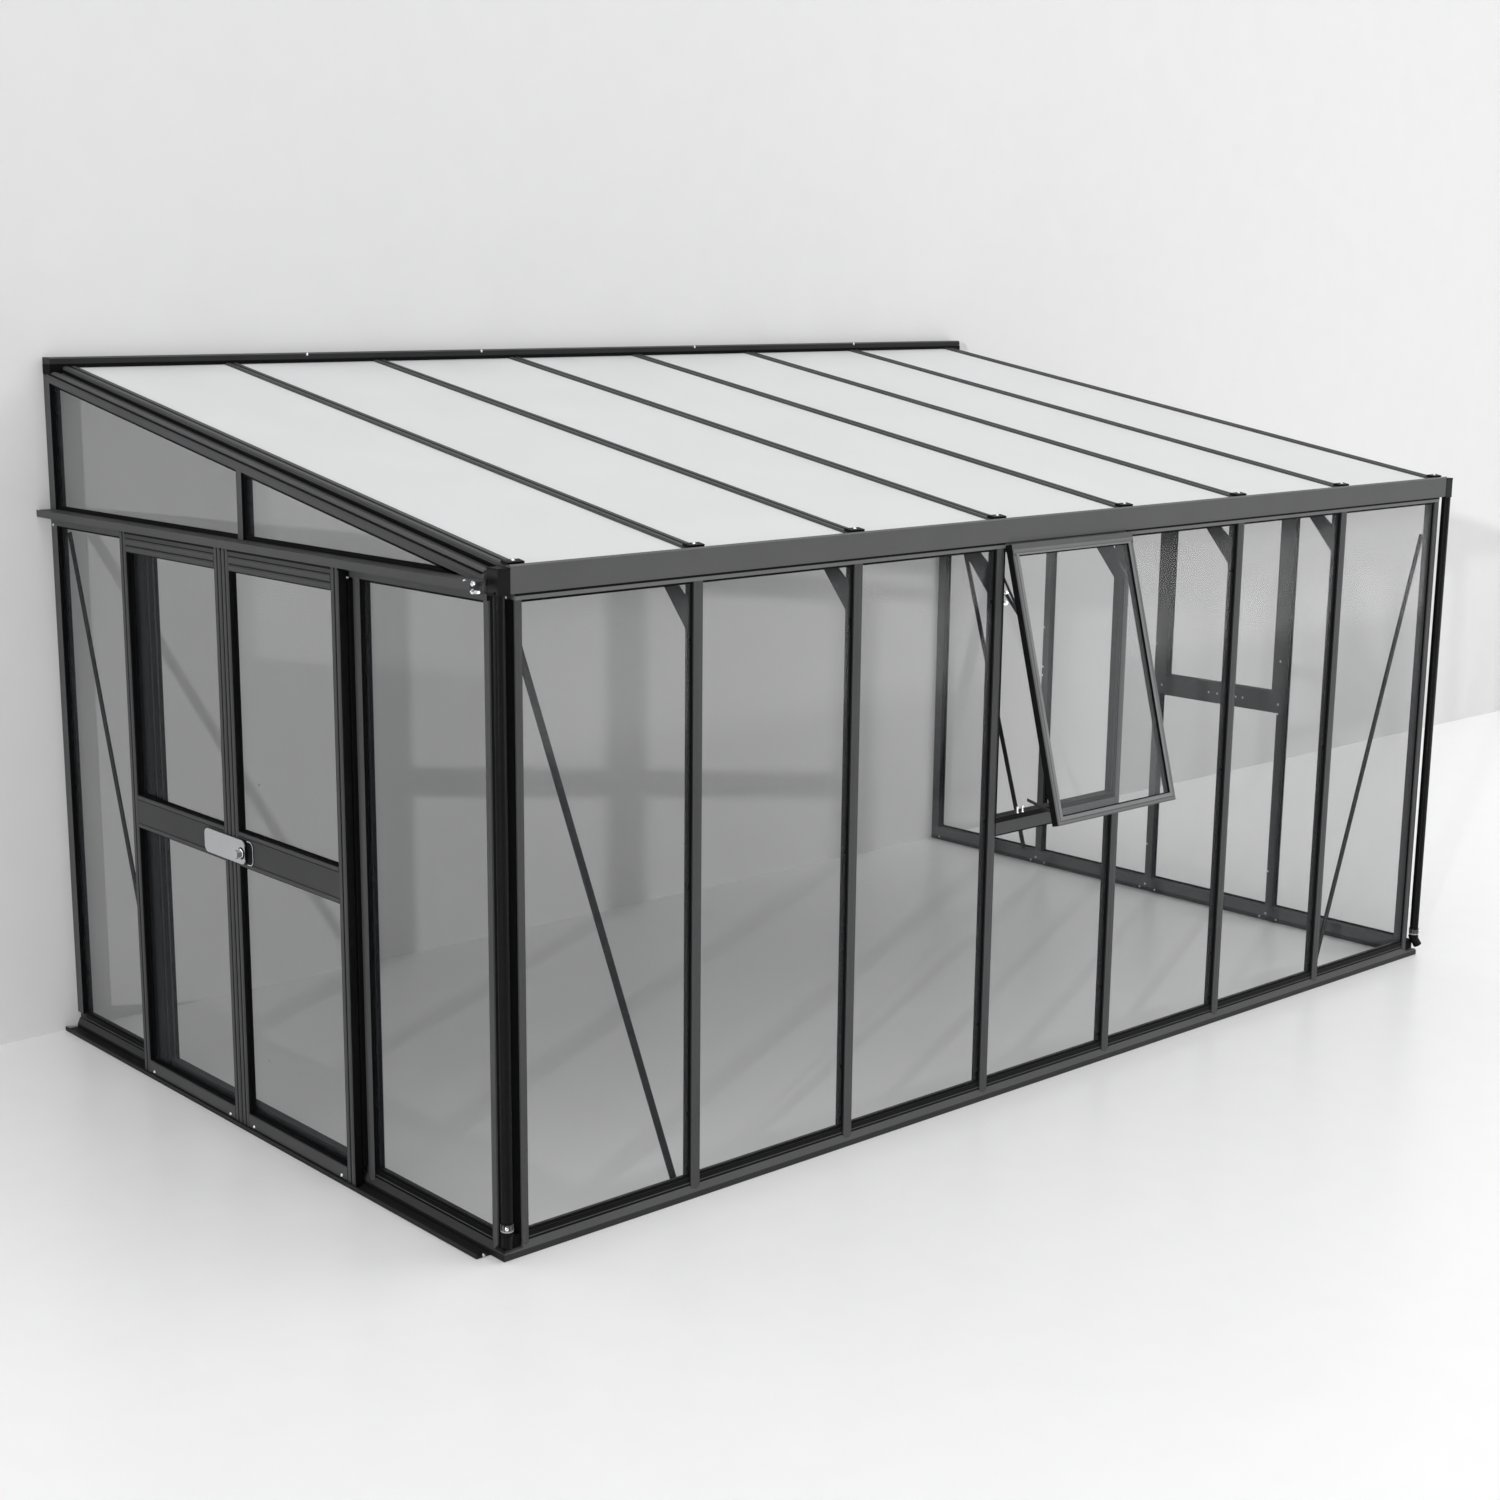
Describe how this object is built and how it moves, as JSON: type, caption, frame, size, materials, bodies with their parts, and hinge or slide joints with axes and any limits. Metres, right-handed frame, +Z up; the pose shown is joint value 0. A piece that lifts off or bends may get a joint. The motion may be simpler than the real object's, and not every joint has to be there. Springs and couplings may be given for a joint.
{
  "type": "lean-to glass greenhouse",
  "caption": "Lean-to glass greenhouse with a dark metal frame, opal sloping roof, box gutter, open top-hung window and a double sliding door in the left gable.",
  "frame": {"origin": "middle of the front wall, on the underside of the front base rail at the line of the front post faces, at ground level", "axes": "+X along the front wall towards the right gable, +Y from the front wall towards the house wall, +Z up"},
  "size_m": [5.4463, 3.3505, 2.808],
  "materials": {
    "dark_frame": "matt anthracite powder coat on aluminium profiles",
    "clear_glass": "clear toughened glass with a faint grey tint",
    "opal_roof": "opal twin-wall roof panel",
    "black_pipe": "black plastic downpipe, low sheen",
    "polished_steel": "bright satin steel"
  },
  "bodies": {
    "greenhouse": {"front_sill": "dark_frame", "left_sill": "dark_frame", "right_sill": "dark_frame", "door_track": "dark_frame", "left_corner_post": "dark_frame", "right_corner_post": "dark_frame", "left_wall_post": "dark_frame", "right_wall_post": "dark_frame", "front_post_1": "dark_frame", "front_post_2": "dark_frame", "front_post_3": "dark_frame", "front_post_4": "dark_frame", "front_post_5": "dark_frame", "front_post_6": "dark_frame", "eave_beam": "dark_frame", "gutter": "dark_frame", "left_downpipe": "black_pipe", "right_downpipe": "black_pipe", "wall_plate": "dark_frame", "roof_bars": "dark_frame", "left_end_bar": "dark_frame", "right_end_bar": "dark_frame", "roof_panels": "opal_roof", "knee_plates": "dark_frame", "front_glass": "clear_glass", "window_frame": "dark_frame", "window_sash": "dark_frame", "window_glass": "clear_glass", "window_stays": "polished_steel", "front_braces": "dark_frame", "gable_braces": "dark_frame", "left_gable_frame": "dark_frame", "left_gable_glass": "clear_glass", "right_gable_frame": "dark_frame", "right_gable_glass": "clear_glass", "right_window_frame": "dark_frame", "right_window_glass": "clear_glass", "door_head_rail": "dark_frame"},
    "rear_leaf": {"rear_door_frame": "dark_frame", "rear_door_glass": "clear_glass", "door_handle": "polished_steel"},
    "front_leaf": {"front_door_frame": "dark_frame", "front_door_glass": "clear_glass", "door_catch": "polished_steel"}
  },
  "joints": [
    {"name": "rear_leaf_slide", "type": "slide", "parent": "greenhouse", "child": "rear_leaf", "axis": [0, 1, 0], "range_m": [0, 0.66]},
    {"name": "front_leaf_slide", "type": "slide", "parent": "greenhouse", "child": "front_leaf", "axis": [0, -1, 0], "range_m": [0, 0.66]}
  ]
}
